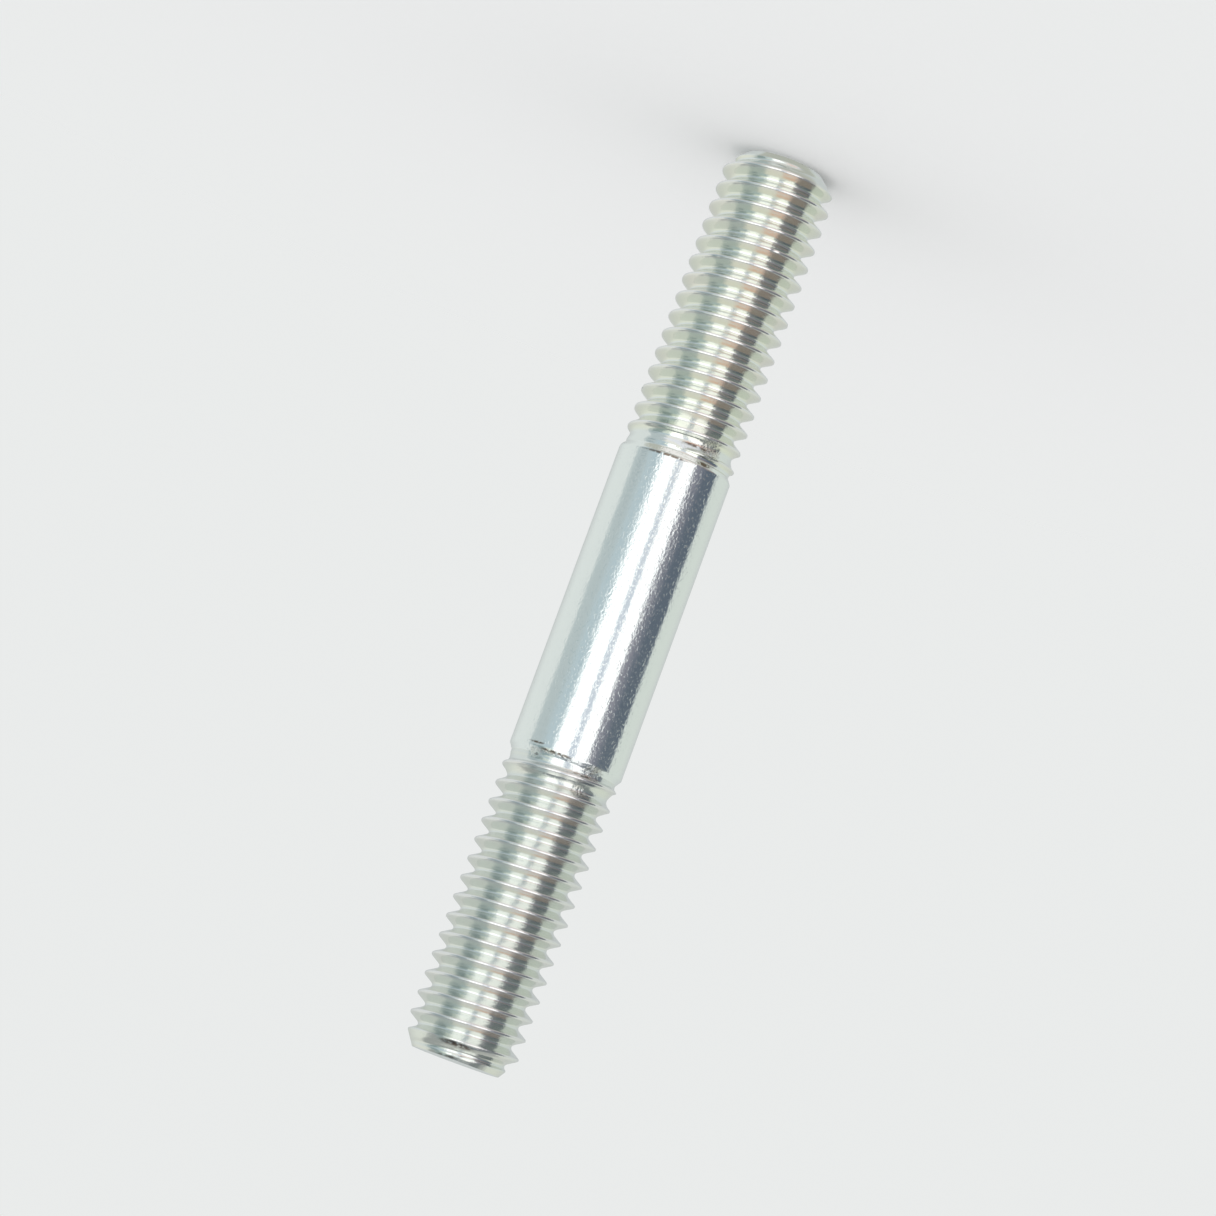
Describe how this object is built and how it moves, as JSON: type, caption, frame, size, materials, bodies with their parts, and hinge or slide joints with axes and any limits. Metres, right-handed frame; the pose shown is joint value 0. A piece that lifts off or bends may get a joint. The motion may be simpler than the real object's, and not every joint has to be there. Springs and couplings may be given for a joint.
{
  "type": "stud bolt",
  "caption": "Double-ended stud bolt: a plain round shank between two right-hand threaded ends with chamfered tips, bright zinc-plated steel.",
  "frame": {"origin": "centre of the lower end face, on the stud's axis; the stud stands on this face", "axes": "+Z along the stud's axis, from the end with the longer thread and the smaller end face towards the other end; the stud is round, so +X and +Y only fix where each thread starts"},
  "size_m": [0.0058, 0.0058, 0.0478],
  "materials": {
    "zinc_plated_steel": "bright zinc plate, clear passivated"
  },
  "bodies": {
    "root": {"stud_bolt": "zinc_plated_steel"}
  },
  "joints": []
}
